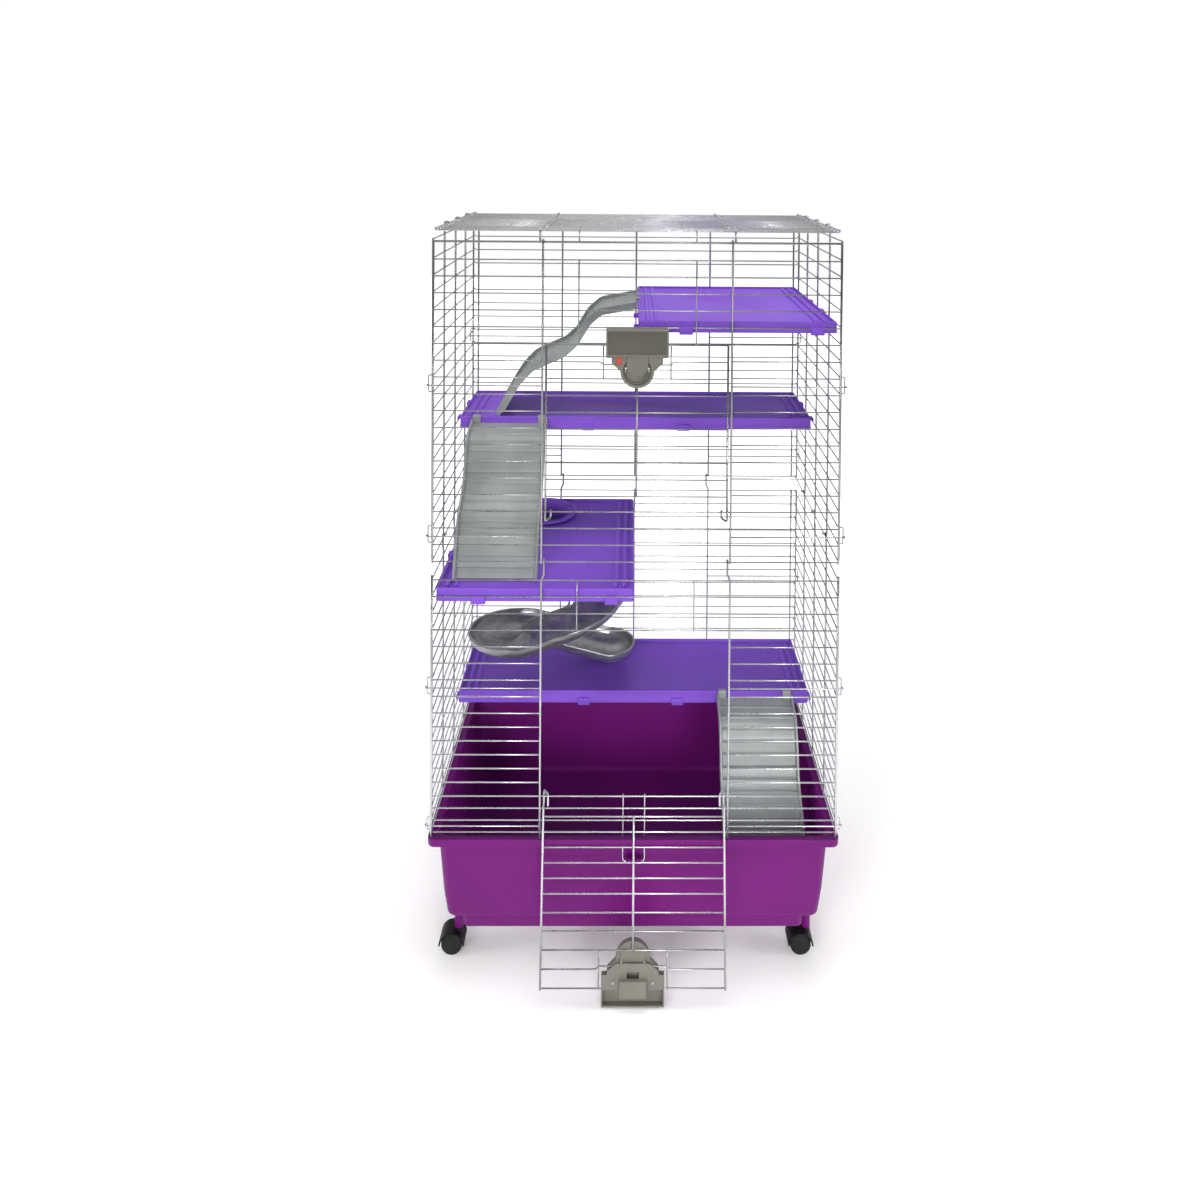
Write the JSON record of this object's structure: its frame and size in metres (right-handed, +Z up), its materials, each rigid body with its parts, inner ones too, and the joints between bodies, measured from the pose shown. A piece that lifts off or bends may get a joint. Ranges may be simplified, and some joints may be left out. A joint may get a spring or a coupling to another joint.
{
  "type": "multi-level small-animal cage",
  "caption": "Tall wire small-animal cage on casters with a deep plastic tub, shelves, ramps, a winding slide, hinged doors with sliding latches and a roof door.",
  "frame": {"origin": "on the floor under the middle of the cage, between the four casters", "axes": "+Z up, +X to the right and -Y towards the doors, seen from in front"},
  "size_m": [0.7772, 0.515, 1.4103],
  "materials": {
    "coated_wire": "satin",
    "tub_plastic": "satin",
    "shelf_plastic": "satin",
    "slide_plastic": "satin",
    "ramp_plastic": "satin",
    "latch_plastic": "satin",
    "indicator_red": "gloss",
    "screw_steel": "satin",
    "caster_steel": "satin",
    "caster_plastic": "satin"
  },
  "bodies": {
    "cage": {"back_panel_lower": "coated_wire", "back_panel_upper": "coated_wire", "base_tub": "tub_plastic", "front_panel_lower": "coated_wire", "front_panel_upper": "coated_wire", "hole_collar": "shelf_plastic", "left_panel_lower": "coated_wire", "left_panel_upper": "coated_wire", "ramp_lower": "ramp_plastic", "ramp_middle": "ramp_plastic", "ramp_upper": "ramp_plastic", "right_panel_lower": "coated_wire", "right_panel_upper": "coated_wire", "rim_bails": "coated_wire", "roof_panel": "coated_wire", "shelf_lower_wide": "shelf_plastic", "shelf_middle_left": "shelf_plastic", "shelf_top_right": "shelf_plastic", "shelf_upper_wide": "shelf_plastic", "slide_exit": "slide_plastic", "slide_middle": "slide_plastic", "slide_pins": "slide_plastic", "slide_top": "slide_plastic"},
    "upper_door": {"upper_door": "coated_wire", "upper_latch_housing": "latch_plastic", "upper_latch_backplate": "latch_plastic", "upper_latch_indicator": "indicator_red", "upper_latch_screws": "screw_steel"},
    "upper_latch": {"upper_latch_slider": "latch_plastic"},
    "lower_door": {"lower_door": "coated_wire", "lower_latch_housing": "latch_plastic", "lower_latch_backplate": "latch_plastic", "lower_latch_indicator": "indicator_red", "lower_latch_screws": "screw_steel"},
    "lower_latch": {"lower_latch_slider": "latch_plastic"},
    "roof_door": {"roof_door": "coated_wire"},
    "caster_swivel_front_left": {"caster_stem_front_left": "caster_steel", "caster_hood_front_left": "caster_plastic", "caster_axle_front_left": "caster_steel"},
    "caster_wheels_front_left": {"caster_wheels_front_left": "caster_plastic"},
    "caster_swivel_front_right": {"caster_stem_front_right": "caster_steel", "caster_hood_front_right": "caster_plastic", "caster_axle_front_right": "caster_steel"},
    "caster_wheels_front_right": {"caster_wheels_front_right": "caster_plastic"},
    "caster_swivel_back_left": {"caster_stem_back_left": "caster_steel", "caster_hood_back_left": "caster_plastic", "caster_axle_back_left": "caster_steel"},
    "caster_wheels_back_left": {"caster_wheels_back_left": "caster_plastic"},
    "caster_swivel_back_right": {"caster_stem_back_right": "caster_steel", "caster_hood_back_right": "caster_plastic", "caster_axle_back_right": "caster_steel"},
    "caster_wheels_back_right": {"caster_wheels_back_right": "caster_plastic"}
  },
  "joints": [
    {"name": "upper_door_hinge", "type": "hinge", "parent": "cage", "child": "upper_door", "pos_m": [0, -0.22416, 0.8775], "axis": [1, 0, 0], "range_deg": [0, 171]},
    {"name": "lower_door_hinge", "type": "hinge", "parent": "cage", "child": "lower_door", "pos_m": [0, -0.22416, 0.3472], "axis": [1, 0, 0], "range_deg": [-171, 0]},
    {"name": "upper_latch_slide", "type": "slide", "parent": "upper_door", "child": "upper_latch", "axis": [0, 0, -1], "range_m": [0, 0.0115], "stiffness_N_per_m": 250, "springref_m": -0.004},
    {"name": "lower_latch_slide", "type": "slide", "parent": "lower_door", "child": "lower_latch", "axis": [0, 0.1564, 0.9877], "range_m": [0, 0.0115], "stiffness_N_per_m": 250, "springref_m": -0.004},
    {"name": "roof_door_hinge", "type": "hinge", "parent": "cage", "child": "roof_door", "pos_m": [0, 0.0622, 1.39975], "axis": [-1, 0, 0], "range_deg": [0, 150]},
    {"name": "caster_swivel_front_left_turn", "type": "hinge", "parent": "cage", "child": "caster_swivel_front_left", "pos_m": [-0.336, -0.1485, 0.046], "axis": [0, 0, 1], "continuous": true},
    {"name": "caster_wheels_front_left_roll", "type": "hinge", "parent": "caster_swivel_front_left", "child": "caster_wheels_front_left", "pos_m": [-0.348, -0.1485, 0.02], "axis": [0, 1, 0], "continuous": true},
    {"name": "caster_swivel_front_right_turn", "type": "hinge", "parent": "cage", "child": "caster_swivel_front_right", "pos_m": [0.336, -0.1485, 0.046], "axis": [0, 0, 1], "continuous": true},
    {"name": "caster_wheels_front_right_roll", "type": "hinge", "parent": "caster_swivel_front_right", "child": "caster_wheels_front_right", "pos_m": [0.324, -0.1485, 0.02], "axis": [0, 1, 0], "continuous": true},
    {"name": "caster_swivel_back_left_turn", "type": "hinge", "parent": "cage", "child": "caster_swivel_back_left", "pos_m": [-0.336, 0.1485, 0.046], "axis": [0, 0, 1], "continuous": true},
    {"name": "caster_wheels_back_left_roll", "type": "hinge", "parent": "caster_swivel_back_left", "child": "caster_wheels_back_left", "pos_m": [-0.348, 0.1485, 0.02], "axis": [0, 1, 0], "continuous": true},
    {"name": "caster_swivel_back_right_turn", "type": "hinge", "parent": "cage", "child": "caster_swivel_back_right", "pos_m": [0.336, 0.1485, 0.046], "axis": [0, 0, 1], "continuous": true},
    {"name": "caster_wheels_back_right_roll", "type": "hinge", "parent": "caster_swivel_back_right", "child": "caster_wheels_back_right", "pos_m": [0.324, 0.1485, 0.02], "axis": [0, 1, 0], "continuous": true}
  ]
}
